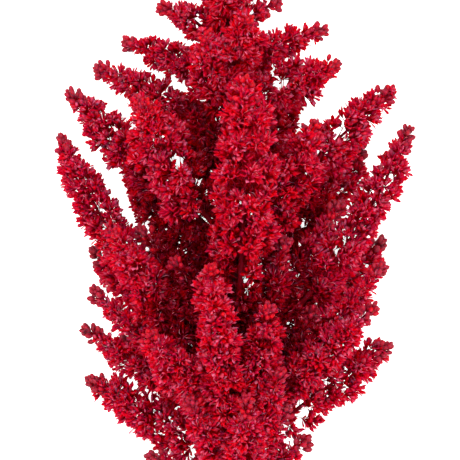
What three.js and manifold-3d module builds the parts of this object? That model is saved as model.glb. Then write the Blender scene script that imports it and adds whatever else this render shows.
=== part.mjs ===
// An astilbe plume, cut and laid down: one branching stem, and the racemes of florets that it carries.
// Millimetres, +Z up. The stem lies along Y, with the plume's tip towards +Y, on a surface at Z = 0.
import * as THREE from "three";
import { mergeVertices } from "three/addons/utils/BufferGeometryUtils.js";
import Module from "manifold-3d";

const wasm = await Module();
wasm.setup();

// The stem, from its cut end to where the topmost raceme begins.
const CUT_END_Y = -160;
const STEM_TOP_Y = 61;
const STEM_ARCH_Y = 84;
const STEM_REST_Z = 1.2;
const STEM_RISE = 28;
const STEM_ARCH_POWER = 1.6;
const STEM_MIDDLE_X = 0.8;
const STEM_BEND_X = 2;
const STEM_BEND_Y = -10;
const STEM_BEND_LENGTH = 30;
const STEM_RADIUS = 1.65;
const STEM_TAPER = 0.35;
const STEM_TOP_TAPER = 0.55;
const STEM_TAPER_POWER = 6;
const STEM_SIDES = 8;
const STEM_RINGS = 20;
const CUT_SLANT = 0.9;

// The bare stalks between the stem and the florets. A raceme is seated on the end of its stalk.
const STALK_RADIUS = 0.5;
const STALK_GROWTH = 0.005;
const STALK_SIDES = 5;
const STALK_STEP = 12;
const SEAT_GAP = 0.3;

// The florets of a raceme stand out of a slimmer core, in rows that are turned by half a floret each.
const FLORET_WIDTH = 5.9;
const FLORET_ROW = 3.8;
const LEAST_ROWS = 4;
const FLORET_SHIFT = 0.5;
const FLORET_LEAN = 0.36;
const FLORET_REACH = [0.92, 1.18];
const CORE_SHARE = 0.62;
const LEAST_CORE = 0.35;

// How a raceme swells above its stalk and thins towards its tip.
const BASE_GIRTH = 0.7;
const SWELL = 2.2;
const TAPER = 0.38;
const TIP_ROUNDING = 4.5;
const TIP_START = 2;
const END_ROW_SHARE = 0.7;
const LAST_ROW_AT = 0.95;

// How far the solids keep from each other, and how deep the lowest florets are pressed flat.
const RACEME_GAP = 0.8;
const STALK_CLEARANCE = 0.9;
const PRESSED = 0.45;
const SURFACE_SIZE = 400;
const AXIS_STEP = 2;
const DRAW_BACK = 0.87;
const MOST_TRIES = 14;

const CRIMSON = 0xa80a24;
const STEM_BROWN = 0x5a2422;
const ROUGHNESS = 0.6;

// Each raceme, from the top down: where its stalk leaves the stem, its tip, how far it bows away from the
// plume's top, its largest radius and the length of its bare stalk.
const RACEMES = {
  crown: { root: 61, tip: [-1.2, 84, 31], bow: 0, girth: 4.8, bare: 0.5 },
  top_left: { root: 58, tip: [-12, 69.5, 34], bow: -1.5, girth: 4.8, bare: 3 },
  top_right: { root: 56, tip: [10, 70.5, 31], bow: -1.5, girth: 4.5, bare: 3 },
  top_front: { root: 52, tip: [0.5, 70, 46], bow: 2, girth: 4.8, bare: 4 },
  top_back: { root: 54, tip: [-3, 71, 10], bow: 4, girth: 4.6, bare: 4 },
  a_left: { root: 47, tip: [-19, 57.7, 28], bow: -4, girth: 5.3, bare: 3 },
  a_right: { root: 49, tip: [13.3, 59, 31], bow: -3, girth: 4.6, bare: 3 },
  a_front: { root: 37, tip: [4.2, 55, 49], bow: 2, girth: 5.3, bare: 5 },
  a_back: { root: 44, tip: [-4, 60, 1.6], bow: 8, girth: 4.8, bare: 5 },
  b_left: { root: 35, tip: [-28.3, 49, 26], bow: -4, girth: 5.1, bare: 4 },
  b_right: { root: 38.5, tip: [25.5, 51.7, 27], bow: -5, girth: 4.8, bare: 4 },
  b_front_left: { root: 30, tip: [-7, 51.2, 49], bow: 3, girth: 5.9, bare: 5 },
  b_back: { root: 34, tip: [9, 52, 1.6], bow: 9, girth: 4.8, bare: 5 },
  c_left: { root: 22, tip: [-35.4, 42.2, 27], bow: -3, girth: 5.2, bare: 6 },
  c_right: { root: 21, tip: [28.6, 43, 36], bow: -6.5, girth: 6.6, bare: 5 },
  c_mid_left: { root: 14, tip: [-9.1, 33.5, 20], bow: 2, girth: 5.7, bare: 5 },
  c_back_left: { root: 22, tip: [-14.5, 37, 0.3], bow: 10, girth: 5.1, bare: 6 },
  c_back_right: { root: 20, tip: [19, 41, 0.3], bow: 10, girth: 5.1, bare: 6 },
  d_left: { root: -5, tip: [-42.4, 36.4, 24], bow: 0.5, girth: 6.4, bare: 9 },
  d_left_front: { root: -4, tip: [-23.4, 33.6, 47], bow: 5, girth: 7, bare: 8 },
  d_front: { root: -27, tip: [4.4, 37.7, 57], bow: 9, girth: 6.8, bare: 10 },
  d_right: { root: -4, tip: [42.9, 37, 26], bow: -1.5, girth: 7.3, bare: 10 },
  d_right_front: { root: -11, tip: [22, 28, 45], bow: 2, girth: 6.8, bare: 8 },
  d_back: { root: 11, tip: [-7, 34, 1.8], bow: 10, girth: 5.3, bare: 6 },
  d_back_left: { root: -8, tip: [-28, 20, 0.5], bow: 10, girth: 5.3, bare: 7 },
  d_back_right: { root: -2, tip: [35.5, 23.5, 0.5], bow: 14, girth: 6.2, bare: 7 },
  d_back_mid: { root: 13, tip: [9, 28, 1.6], bow: 10, girth: 5.1, bare: 6 },
  e_left: { root: -40, tip: [-44.4, 25, 22], bow: 8, girth: 8.2, bare: 15 },
  e_right: { root: -36, tip: [47, 27.3, 23], bow: 8, girth: 8.4, bare: 15 },
  e_left_front: { root: -42, tip: [-30.7, 0.5, 42], bow: 4, girth: 6.3, bare: 14 },
  e_low_left: { root: -44, tip: [-36.4, -14.8, 24], bow: 4, girth: 5.5, bare: 10 },
  e_right_front: { root: -47, tip: [40.3, -8.3, 30], bow: 3, girth: 6.4, bare: 13 },
  e_low_right: { root: -50, tip: [37.6, -19, 36], bow: 1.5, girth: 5.9, bare: 12 },
  e_mid_left: { root: -27, tip: [-24.5, 1, 21], bow: 2, girth: 6, bare: 8 },
  e_mid_right: { root: -28, tip: [29.5, 7.5, 22], bow: 3, girth: 6.2, bare: 8 },
  e_centre_left: { root: -28, tip: [-15, -7, 33], bow: 3, girth: 5.3, bare: 8 },
  e_centre_right: { root: -38, tip: [14.5, -1.5, 33], bow: 3, girth: 5.8, bare: 8 },
  e_back_left: { root: -26, tip: [-37, -4.5, 0.6], bow: 10, girth: 5.7, bare: 7 },
  e_back_right: { root: -24, tip: [41, -2, 0.6], bow: 10, girth: 6, bare: 7 },
  e_back: { root: -22, tip: [-8.5, 3, 1.8], bow: 10, girth: 5.5, bare: 6 },
  f_left: { root: -51, tip: [-38.7, -25, 19], bow: 1, girth: 5.7, bare: 8 },
  f_left_front: { root: -52, tip: [-21.3, -26, 46], bow: 3, girth: 6.4, bare: 8 },
  f_front: { root: -64, tip: [-5.2, -8.3, 53], bow: 8, girth: 6.5, bare: 10 },
  f_right_front: { root: -53, tip: [10, -18.5, 42], bow: 4, girth: 5.9, bare: 8 },
  f_mid_right: { root: -49, tip: [22.5, -20, 22], bow: 3, girth: 5.3, bare: 7 },
  f_back_left: { root: -44, tip: [-29, -28, 0.3], bow: 8, girth: 5.1, bare: 5 },
  f_back_right: { root: -46, tip: [27, -22, 0.6], bow: 8, girth: 5.1, bare: 5 },
  f_back: { root: -40, tip: [-1, -16, 1.8], bow: 8, girth: 5.1, bare: 5 },
  g_left: { root: -62, tip: [-37.7, -38.5, 16], bow: 0.5, girth: 7.6, bare: 6 },
  g_right: { root: -59, tip: [42.2, -29.6, 20], bow: -2, girth: 6.8, bare: 13 },
  g_right_front: { root: -61, tip: [13.5, -35.5, 39], bow: 3, girth: 5.9, bare: 6 },
  g_low_right: { root: -64, tip: [14.8, -45.5, 29], bow: 2, girth: 4.6, bare: 5 },
  g_front: { root: -71, tip: [4.2, -42.1, 44], bow: 4, girth: 6.2, bare: 7 },
  g_left_front: { root: -67, tip: [-10.4, -42.9, 40], bow: 3, girth: 5.7, bare: 6 },
  g_back: { root: -57, tip: [11, -39, 1.6], bow: 6, girth: 4.6, bare: 4 },
  g_back_left: { root: -60, tip: [-13, -41, 1.6], bow: 6, girth: 4.6, bare: 4 },
  h_left: { root: -70, tip: [-22.1, -59, 17], bow: -1, girth: 4.8, bare: 3 },
  h_right: { root: -68, tip: [21.1, -54, 22], bow: -1, girth: 4.8, bare: 3 },
};

const ACROSS = new THREE.Vector3(1, 0, 0);
const ALONG = new THREE.Vector3(0, 1, 0);
const draw = () => THREE.MathUtils.seededRandom();

// The share of the whole stem and crown that lies below a given Y.
const stemShare = (y) => (y - CUT_END_Y) / (STEM_ARCH_Y - CUT_END_Y);

// The stem's centre: a soft sideways bend, and an arch that rises from the surface and levels out.
function stemAt(y) {
  const x = STEM_MIDDLE_X + STEM_BEND_X * Math.tanh((STEM_BEND_Y - y) / STEM_BEND_LENGTH);
  const z = STEM_REST_Z + STEM_RISE * (1 - (1 - stemShare(y)) ** STEM_ARCH_POWER);
  return new THREE.Vector3(x, y, z);
}

// The stem tapers evenly, and faster just below the topmost raceme.
function stemRadius(y) {
  const share = stemShare(y);
  return STEM_RADIUS - STEM_TAPER * share - STEM_TOP_TAPER * share ** STEM_TAPER_POWER;
}

const stalkRadius = ({ length }) => STALK_RADIUS + STALK_GROWTH * length;

// A raceme's axis: a curve from the stem to its tip, in one flat plane, with points where it has florets.
function growRaceme([name, { root, tip, bow, girth, bare }]) {
  const start = stemAt(root);
  const end = new THREE.Vector3(...tip);
  const chord = end.clone().sub(start);
  const upright = name === "crown";
  const flat = upright ? ACROSS : chord.clone().cross(ALONG).normalize();
  const outward = chord.clone().cross(flat).normalize();
  if (outward.dot(ALONG) > 0) outward.negate();
  const middle = start.clone().lerp(end, 0.5).addScaledVector(outward, bow);
  const curve = new THREE.QuadraticBezierCurve3(start, middle, end);
  const length = curve.getLength();
  const raceme = { name, upright, curve, flat, length, bare, girth, points: [] };
  const steps = Math.ceil((length - bare) / AXIS_STEP);
  for (let i = 0; i <= steps; i++) {
    raceme.points.push(curve.getPointAt(THREE.MathUtils.lerp(bare, length, i / steps) / length));
  }
  return raceme;
}

const racemes = Object.entries(RACEMES).map(growRaceme);

// Rings of points joined into one closed skin, with a fan at each end. Each quad is split between its two
// low corners, so that every high point is the top of a pyramid with four sides.
function skin(rings, start, end, isHigh = () => false) {
  const sides = rings[0].length;
  const faces = [];
  const at = (ring, side) => ring * sides + (side % sides);
  for (let ring = 0; ring + 1 < rings.length; ring++) {
    for (let side = 0; side < sides; side++) {
      const [a, b] = [at(ring, side), at(ring, side + 1)];
      const [d, c] = [at(ring + 1, side), at(ring + 1, side + 1)];
      if (isHigh(ring, side)) faces.push(a, b, d, b, c, d);
      else faces.push(a, b, c, a, c, d);
    }
  }
  const [first, last] = [rings.length * sides, rings.length * sides + 1];
  for (let side = 0; side < sides; side++) {
    faces.push(first, at(0, side + 1), at(0, side));
    faces.push(last, at(rings.length - 1, side), at(rings.length - 1, side + 1));
  }
  return new THREE.BufferGeometry().setFromPoints([...rings.flat(), start, end]).setIndex(faces);
}

// The direction at one angle round an axis, from the axis's heading and the direction across its plane.
function roundAxis(flat, heading, angle) {
  const up = heading.clone().cross(flat);
  return flat.clone().multiplyScalar(Math.cos(angle)).addScaledVector(up, Math.sin(angle));
}

function ringAt(centre, flat, heading, radius, sides) {
  const angles = Array.from({ length: sides }, (_, side) => ((side + 0.5) * 2 * Math.PI) / sides);
  return angles.map((angle) => roundAxis(flat, heading, angle).multiplyScalar(radius).add(centre));
}

function toSolid(geometry) {
  const vertProperties = new Float32Array(geometry.getAttribute("position").array);
  const triVerts = new Uint32Array(geometry.getIndex().array);
  return new wasm.Manifold(new wasm.Mesh({ numProp: 3, vertProperties, triVerts }));
}

function toGeometry(solid) {
  const { numProp, numVert, vertProperties, triVerts } = solid.getMesh();
  const points = [];
  for (let i = 0; i < numVert; i++) {
    points.push(new THREE.Vector3().fromArray(vertProperties, i * numProp));
  }
  return new THREE.BufferGeometry().setFromPoints(points).setIndex(Array.from(triVerts)).toNonIndexed();
}

// The main stem, with a slanting cut at its lower end.
function mainStem(extra) {
  const rings = [];
  for (let i = 0; i <= STEM_RINGS; i++) {
    const y = THREE.MathUtils.lerp(CUT_END_Y, STEM_TOP_Y, i / STEM_RINGS);
    const heading = stemAt(y + 1).sub(stemAt(y)).normalize();
    rings.push(ringAt(stemAt(y), ACROSS, heading, stemRadius(y) + extra, STEM_SIDES));
  }
  const cut = stemAt(CUT_END_Y);
  rings[0].forEach((point) => point.setY(point.y + CUT_SLANT * (point.z - cut.z)));
  return toSolid(skin(rings, cut, stemAt(STEM_TOP_Y)));
}

// The bare stalk of one raceme, from inside the stem to just short of the florets.
function stalk(raceme, extra) {
  const { curve, flat, length, bare } = raceme;
  const reach = bare - SEAT_GAP;
  const steps = Math.max(1, Math.round(reach / STALK_STEP));
  const rings = [];
  for (let i = 0; i <= steps; i++) {
    const at = (reach * i) / steps / length;
    const centre = curve.getPointAt(at);
    rings.push(ringAt(centre, flat, curve.getTangentAt(at), stalkRadius(raceme) + extra, STALK_SIDES));
  }
  return toSolid(skin(rings, curve.getPointAt(0), curve.getPointAt(reach / length)));
}

function branchingStem(extra) {
  const stalks = racemes.filter(({ upright }) => !upright).map((raceme) => stalk(raceme, extra));
  return stalks.reduce((joined, one) => joined.add(one), mainStem(extra));
}

// The distance from a point to a chain of points.
function distanceTo(points, point) {
  let least = Infinity;
  const line = new THREE.Line3();
  const nearest = new THREE.Vector3();
  for (let i = 0; i + 1 < points.length; i++) {
    line.set(points[i], points[i + 1]).closestPointToPoint(point, true, nearest);
    least = Math.min(least, nearest.distanceTo(point));
  }
  return least;
}

// The racemes and the bare stalks that are near enough to a raceme to touch its florets.
function neighboursOf(raceme) {
  const own = new THREE.Sphere().setFromPoints(raceme.points);
  own.radius += 2 * raceme.girth;
  const isNear = ({ points }) => own.intersectsSphere(new THREE.Sphere().setFromPoints(points));
  const others = racemes.filter((other) => other !== raceme);
  const stalks = others.filter(({ upright }) => !upright).map((other) => {
    const reach = (other.bare - SEAT_GAP) / other.length;
    const points = [0, reach / 2, reach].map((at) => other.curve.getPointAt(at));
    return { points, radius: stalkRadius(other) };
  });
  return { others: others.filter(isNear), stalks: stalks.filter(isNear) };
}

// A point of a raceme is clear when it is above the surface, off the stem and the stalks, and nearer to its
// own axis than to any other.
function isClear(point, raceme, { others, stalks }) {
  if (point.z < -PRESSED) return false;
  const offStem = point.distanceTo(stemAt(Math.min(point.y, STEM_TOP_Y))) - stemRadius(point.y);
  if (offStem < STALK_CLEARANCE && !raceme.upright) return false;
  const touches = ({ points, radius }) => distanceTo(points, point) < radius + STALK_CLEARANCE;
  if (stalks.some(touches)) return false;
  const own = distanceTo(raceme.points, point) + RACEME_GAP;
  return others.every(({ points }) => distanceTo(points, point) > own);
}

// How full a raceme is along its florets: it swells soon after the stalk, tapers evenly, and rounds off over
// the last few millimetres.
function fullness(share, { length, bare }) {
  const swell = Math.min(1, BASE_GIRTH + SWELL * share);
  const fromTip = (1 - share) * (length - bare);
  return swell * (1 - TAPER * share) * (1 - Math.exp(-(fromTip + TIP_START) / TIP_ROUNDING));
}

// One row of a raceme: a high point for each floret, which leans to the tip, and low points on the core
// between them. Each point is drawn back towards the axis until it is clear.
function floretRow(raceme, neighbours, sides, share, isFloret) {
  const { curve, flat, length, bare, girth } = raceme;
  const at = THREE.MathUtils.lerp(bare, length, share * LAST_ROW_AT) / length;
  const centre = curve.getPointAt(at);
  const heading = curve.getTangentAt(at);
  const radius = girth * fullness(share, raceme) * (share === 0 || share === 1 ? END_ROW_SHARE : 1);
  return Array.from({ length: sides }, (_, side) => {
    const around = roundAxis(flat, heading, ((side + FLORET_SHIFT * draw()) * 2 * Math.PI) / sides);
    const spread = THREE.MathUtils.lerp(...FLORET_REACH, draw());
    if (isFloret(side)) around.addScaledVector(heading, FLORET_LEAN);
    const pointAt = (reach) => centre.clone().addScaledVector(around, reach);
    let reach = Math.max(LEAST_CORE, radius * (isFloret(side) ? spread : CORE_SHARE));
    for (let tries = 0; tries < MOST_TRIES && !isClear(pointAt(reach), raceme, neighbours); tries++) {
      reach = Math.max(LEAST_CORE, reach * DRAW_BACK);
    }
    return pointAt(reach);
  });
}

function racemeSolid(raceme, seed) {
  THREE.MathUtils.seededRandom(seed);
  const { curve, length, bare, girth } = raceme;
  const neighbours = neighboursOf(raceme);
  const rows = Math.max(LEAST_ROWS, Math.round((length - bare) / FLORET_ROW));
  const sides = 2 * Math.round((2 * Math.PI * girth) / FLORET_WIDTH);
  const isFloret = (row, side) => row > 0 && row < rows && (row + side) % 2 === 0;
  const rings = [];
  for (let row = 0; row <= rows; row++) {
    rings.push(floretRow(raceme, neighbours, sides, row / rows, (side) => isFloret(row, side)));
  }
  return toSolid(skin(rings, curve.getPointAt(bare / length), curve.getPointAt(1), isFloret));
}

// Below the surface nothing is left: what would reach there is pressed flat.
const below = new THREE.BoxGeometry(SURFACE_SIZE, SURFACE_SIZE, SURFACE_SIZE);
below.translate(0, 0, -SURFACE_SIZE / 2).deleteAttribute("normal").deleteAttribute("uv");
const belowSurface = toSolid(mergeVertices(below));
const pressedFlat = (solid) => (solid.boundingBox().min[2] < 0 ? solid.subtract(belowSurface) : solid);

const plume = new THREE.Group();

function addPiece(name, solid, color) {
  const material = new THREE.MeshStandardMaterial({ color, roughness: ROUGHNESS, metalness: 0 });
  const piece = new THREE.Mesh(toGeometry(solid), material);
  piece.name = name;
  plume.add(piece);
}

// The stem, and each raceme cut back to leave room for the stem. A scrap that comes loose is dropped.
addPiece("stem", pressedFlat(branchingStem(0)), STEM_BROWN);
const stemWithRoom = branchingStem(SEAT_GAP);
racemes.forEach((raceme, index) => {
  const solid = racemeSolid(raceme, index + 1);
  const cleared = pressedFlat(raceme.upright ? solid : solid.subtract(stemWithRoom));
  const [whole] = cleared.decompose().sort((one, other) => other.volume() - one.volume());
  addPiece(`raceme_${raceme.name}`, whole, CRIMSON);
});

// The origin is below the middle of the whole piece, on the surface that it rests on.
const box = new THREE.Box3().setFromObject(plume);
const middle = box.getCenter(new THREE.Vector3());
plume.position.set(-middle.x, -middle.y, -box.min.z);
const laidDown = new THREE.Group();
laidDown.add(plume);

export default laidDown;
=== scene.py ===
"""An astilbe plume, cut and laid down, with its real florets, buds, stalks and stem.

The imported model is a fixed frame. Each raceme node gives its own axis and girth, and one fine piece takes
its place: tufts of florets on forked branchlets round the axis, gathered into rosettes where the raceme
faces the viewer, then stalked buds, and a tight cluster of buds at the tip. The stem node is replaced by a
ribbed, hairy stem with its bare stalks. Lengths are in millimetres until a mesh is made, angles are in
radians, and every draw is seeded."""
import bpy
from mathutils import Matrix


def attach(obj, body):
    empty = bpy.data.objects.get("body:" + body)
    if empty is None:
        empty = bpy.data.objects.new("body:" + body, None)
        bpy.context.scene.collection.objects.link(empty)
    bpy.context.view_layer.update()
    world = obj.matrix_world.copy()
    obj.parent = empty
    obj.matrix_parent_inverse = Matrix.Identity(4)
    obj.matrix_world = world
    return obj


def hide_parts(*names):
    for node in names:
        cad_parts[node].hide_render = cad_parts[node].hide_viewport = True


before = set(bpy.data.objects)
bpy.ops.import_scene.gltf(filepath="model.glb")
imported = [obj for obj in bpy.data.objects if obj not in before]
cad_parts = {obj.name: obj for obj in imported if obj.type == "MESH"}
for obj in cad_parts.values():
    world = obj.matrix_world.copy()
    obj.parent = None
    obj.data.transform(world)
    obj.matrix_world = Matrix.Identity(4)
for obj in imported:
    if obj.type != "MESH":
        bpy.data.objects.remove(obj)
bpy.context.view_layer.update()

from types import SimpleNamespace

import bpy
import numpy as np
from mathutils import Vector

MM = 0.001
GOLDEN_ANGLE = np.pi * (3 - 5**0.5)
SEED = 1907

# A variety is the spread of a bell-shaped draw. Two values in brackets are the ends of an even draw or of
# a stretch, or they hold for a raceme's base and tip, or for the racemes behind and in front.

# How a raceme's axis and girth are read from its solid.
AXIS_SAMPLES, FIT_ROUNDS, END_WEIGHT, BASE_QUARTER = 60, 3, 400, 0.25
GIRTH_BAND, GIRTH_PERCENTILE, LEAST_GIRTH = (0.2, 0.6), 75, 4.4

# A raceme's mean height tells how far forward it stands, from 0 to 1.
FORWARD_HEIGHTS, FRONT_FROM = (8.0, 42.0), 0.5

# A raceme's outline: it swells from its base, tapers, is rounded at its tip and drawn in towards it.
BASE_GIRTH, SWELL, TAPER = 0.72, 2.4, 0.38
TIP_ROUNDING, TIP_START = 4.5, 1.0
NARROWING, NARROWED_STRETCH = (0.6, 0.55), (19.0, 17.0)

# How far a raceme flowers behind its base, on the way to the stem.
BACK_SHARE, BACK_LEAST, SIDE_BACK, FRONT_BACK = 0.75, 2.0, 8.0, 14.0

# Tufts. The values in threes hold for a raceme at the back, at the side and in front.
FORWARD_STEPS, TUFTS_PER_MM = (0, 0.25, 1), (1.8, 1.38, 1.7)
GIRTH_REACH, GIRTH_REACH_POWER, TUFT_REACH = (1.14, 1.02, 1.36), 1.5, (0.9, 1.2)
TUFT_LEAN, BURST_SHARE, BURST_LEAN = (0.65, 1.15), 0.12, -0.6
TURN_VARIETY, LEAN_VARIETY = 0.3, 0.12
LEAST_BRANCHLET, PETAL_COVER = 0.5, 0.85
BRANCHLET_RADIUS, BRANCHLET_BEND = 0.17, 0.4

# Clumps of tufts in the front racemes, each spread from one fork.
CLUMP_LENGTH, CLUMPS_ROUND = 1.2, 4
CLUMP_DOME, DOME_MIDDLE, DOME_EDGE = 0.24, 0.4, 1.6
CLUMP_PULL, CLUMP_GATHER, FORK_DEPTH = 0.08, 0.75, 0.35
CLUMPED_FORWARD, CLUMP_START = (0.35, 0.8), 0.2

# The florets of a tuft: a fan at its branchlet's end, and the others down the branchlet.
FLORETS_PER_MM, FLORET_NUMBERS = 1.15, (-0.7, 0.7)
MOST_FLORETS, FAN_FLORETS = 8, 3
FAN_STEP, DOWN_SHARE = 0.04, 0.8
FAN_STALK, FLORET_STALK, STALK_LENGTHS = 0.35, 0.7, (0.7, 1.3)
FLORET_STALK_RADIUS, STALK_SINK, STALK_BEND = 0.21, 0.25, 0.5
FAN_TILT, FLORET_TILT, TILT_VARIETY = 0.5, 0.7, 0.15
# Tone: its mean rises from the racemes behind to those in front, painted light that makes the higher racemes
# redder and lighter; the spread round the mean is the florets' own.
FLORET_TONE, TUFT_TONE_VARIETY, FLORET_TONE_VARIETY = (0.3, 0.68), 0.1, 0.07
OWN_SHARE, LEAST_HEIGHT, PRESSED_HEIGHT = 0.8, 0.3, 0.02

# Petals: narrow, five to a floret. The inner florets have one ring fewer and are broader.
PETALS = 5
PETAL_LENGTH, FLORET_SIZES, PETAL_SIZES = 3.1, (0.84, 1.14), (0.82, 1.15)
PETAL_HALF_WIDTH, PETAL_BREADTHS = 0.46, (0.8, 1.2)
PETAL_KEEL, PETAL_DISH = 0.34, 0.16
FLORET_SPREAD, SPREAD_VARIETY = (0.4, 0.26), 0.1
PETAL_CURLS, LEAST_CURL, PETAL_CURL_VARIETY = (-0.3, 0.6), 0.05, 0.22
PETAL_TURN_VARIETY, PETAL_SPREAD_VARIETY, PETAL_TWIST_VARIETY = 0.16, 0.14, 0.35
# The petals' tone spreads by the first value; the power after it keeps the painted pink highlight to few
# petals.
PETAL_TONE_VARIETY, PAINTED_HIGHLIGHT_RARITY = 0.17, 6
PETAL_RINGS, PETAL_WIDTHS = np.array([0.4, 0.84]), np.array([0.62, 1.0])
PLAIN_RINGS, PLAIN_WIDTHS = np.array([0.7]), np.array([1.35])

# One bent thread in each outer floret.
FILAMENT_LENGTH, FILAMENT_LENGTHS = 3.2, (0.75, 1.15)
FILAMENT_RADIUS, FILAMENT_BOW, FILAMENT_TILTS = 0.13, 0.16, (0.3, 1.1)

# Buds, and the florets near the tip, many of which are closed, or else young and small.
BUD_LENGTH, BUD_HALF_WIDTH, BUD_SIDES = 2.5, 0.78, 5
BUD_RINGS, BUD_WIDTHS = np.array([0.16, 0.5, 0.83]), np.array([0.5, 1.0, 0.74])
BUD_ZONE, FRONT_BUD_SHARE, LEAST_OPEN = 7.0, 0.4, 0.3
YOUNG_STRETCH, CLOSED_CHANCE, CLOSED_LIMITS = (3.0, 12.0), (1.1, 0.4), (0.04, 0.85)
YOUNG_FLORET, YOUNG_BUD, BUD_SIZES, END_BUD_SIZE = (0.62, 0.9), 0.85, (0.75, 1.0), (1.04, 0.68)

# Single buds on stems before the tip: their lean, stem and size run from the first bud to the last.
LONE_BUDS = 9
LONE_BEFORE, LONE_END = 0.02, 2.2
LONE_LEAN, LONE_STEM, LONE_SIZE = (0.72, 1.2), (2.05, 0.8), (1.08, 0.92)
LONE_LEAN_VARIETY, LONE_STEM_RANGE, LONE_SIZE_RANGE = 0.1, (0.75, 1.2), (0.88, 1.1)
# The buds' tone rises with how far forward the raceme stands: painted light, as for the florets.
LONE_TONE, LONE_TONE_VARIETY = 0.75, 0.12
LONE_RADIUS, LONE_SINK = 0.24, 0.4

# The tight cluster at the tip, from its first bud to its last.
TIP_BUDS = 7
TIP_NEAR, TIP_DEPTH = 1.5, 2.2
TIP_LEAN, TIP_SIZES, TIP_SLIMNESS, TIP_OUT = (0.85, 1.5), (0.82, 1.0), 0.9, 0.25
# The tip buds' tone rises with how far forward the raceme stands: painted light, as for the florets.
TIP_TONE, TIP_TONE_VARIETY = 0.55, 0.1

# Painted shade from the stem, a raceme's own axis, its neighbour and the racemes above: how dark, and how
# far.
STEM_DEPTH, AXIS_DEPTH, SEAM_DEPTH, LID_DEPTH = 0.9, 0.1, 0.3, 0.9
STEM_SHADE, STEM_DARKEST = 20.0, 5.0
SHADE_TOP, SHADE_RUN, SHADE_FOOT, SHADE_FOOT_RUN, LEAST_SHADE = 118.0, 70.0, -25.0, 32.0, 0.35
AXIS_SHADE, SEAM_STRETCH = 0.8, (1.5, 0.8)
LID_REACH, LID_HEIGHTS, LID_STRETCH = 15.0, (6.0, 16.0), (27.0, 20.0)

# The stem's ends, arch, bend and taper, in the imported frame.
STEM_LOW_Y, STEM_HIGH_Y, STEM_ARCH_Y = -121.57, 99.43, 122.43
STEM_REST_Z, STEM_RISE, STEM_ARCH_POWER = 1.2, 28.0, 1.6
STEM_MIDDLE_X, STEM_BEND_X, STEM_BEND_Y, STEM_BEND_LENGTH = -0.66, 2.0, 28.43, 30.0
STEM_RADIUS, STEM_TAPER, STEM_TOP_TAPER, STEM_TAPER_POWER = 1.65, 0.35, 0.55, 6
STEM_RINGS, STEM_SIDES = 260, 26

# The stem's ribs with a finer grain, its nodes, and the painted shade among the racemes.
STEM_RIBS, RIB_DEPTH, RIB_TWIST = 9, 0.055, 0.012
GRAIN_RIBS, GRAIN_DEPTH, GRAIN_DRIFT = 23, 0.02, 0.11
NODE_SWELL, NODE_LENGTH = 0.32, 1.6
PLUME_START_Y, PLUME_SHADE, PLUME_DARKNESS = -38.0, 30.0, 0.95

# The slanted cut, with pith inside a ring of bark.
CUT_SLANT, CUT_RUN = 0.9, 4.0
PITH_SHARE, PITH_PROUD, PITH_DEPTH = 0.9, 0.03, 0.5

# The bare stalks between the stem and the racemes, and the racemes' own axes.
STALK_RADIUS, STALK_GROWTH, AXIS_TIP_RADIUS = 0.5, 0.005, 0.24
STALK_POINTS, STALK_SIDES, AXIS_SIDES = 14, 10, 6
STALK_PLACES, STALK_START, STALK_NEARNESS, STALK_OVERLAP = 800, 20.0, 0.15, 0.6
SOCKET_SWELL, SOCKET_FADE = 0.35, 6.0
# Painted shade in the colour of the bare stalks and of the racemes' axis tubes.
STALK_SHADE, AXIS_TUBE_SHADE = 0.75, 0.3

# Short stiff hairs.
HAIRS, HAIR_LENGTHS, HAIR_RADIUS = 1500, (0.35, 0.75), 0.035
HAIR_LOW, HAIR_HIGH, HAIR_FOOT, HAIR_SPREAD = 2.0, 3.0, 0.93, 0.3

# Directions from which the turn round a shape's own axis is measured.
SPIKE_GUIDE, PETAL_GUIDE = np.array([0.31, 0.52, 0.79]), np.array([0.17, 0.23, 0.95])
BUD_GUIDE, TUBE_GUIDE = np.array([0.27, 0.61, 0.74]), np.array([1.0, 0.05, 0.02])

# The photograph's framing: 460 pixels at 0.26 mm, centred on the plume, from straight above.
PIXELS, PIXEL_SIZE = 460, 0.26
CENTRE_X, CENTRE_Y, PLUME_MIDDLE_Z = -1.46, 38.43, 24.0
CAMERA_HEIGHT, SENSOR = 1200.0, 36.0

# Each light's place, its side and its power in watts.
LIGHTS = {
    "key_softbox": ((-150, 210, 1030), 260, 5.2),
    "front_softbox": ((200, -160, 1000), 600, 4.7),
}
SURROUND_STRENGTH = 0.78
FLOOR_HALF_SIDE, FLOOR_GLOW, FLOOR_GREYS = 4000.0, 1.0, (0.93, 0.97)


def unit(vectors):
    """Vectors divided by their length."""
    return vectors / np.maximum(np.linalg.norm(vectors, axis=-1, keepdims=True), 1e-9)


def lerp(low, high, share):
    """low + (high - low) times share."""
    return low + (high - low) * share


def between(value, low, high):
    """How far a value is on its way from low to high: (value - low) / (high - low), kept from 0 to 1."""
    return np.clip((value - low) / (high - low), 0, 1)


def only(group, keep):
    """The members of a group that are kept: each of its arrays, cut down to them."""
    return SimpleNamespace(**{name: values[keep] for name, values in vars(group).items()})


def square_to(heading, guide):
    """Two directions square to a heading: the guide less its part along the heading, and heading x that."""
    across = unit(guide - (guide * heading).sum(-1, keepdims=True) * heading)
    return across, np.cross(heading, across)


def swing(first, second, angle):
    """A direction turned from a first one towards a second: cos(angle) first + sin(angle) second."""
    return np.cos(angle) * first + np.sin(angle) * second


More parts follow.
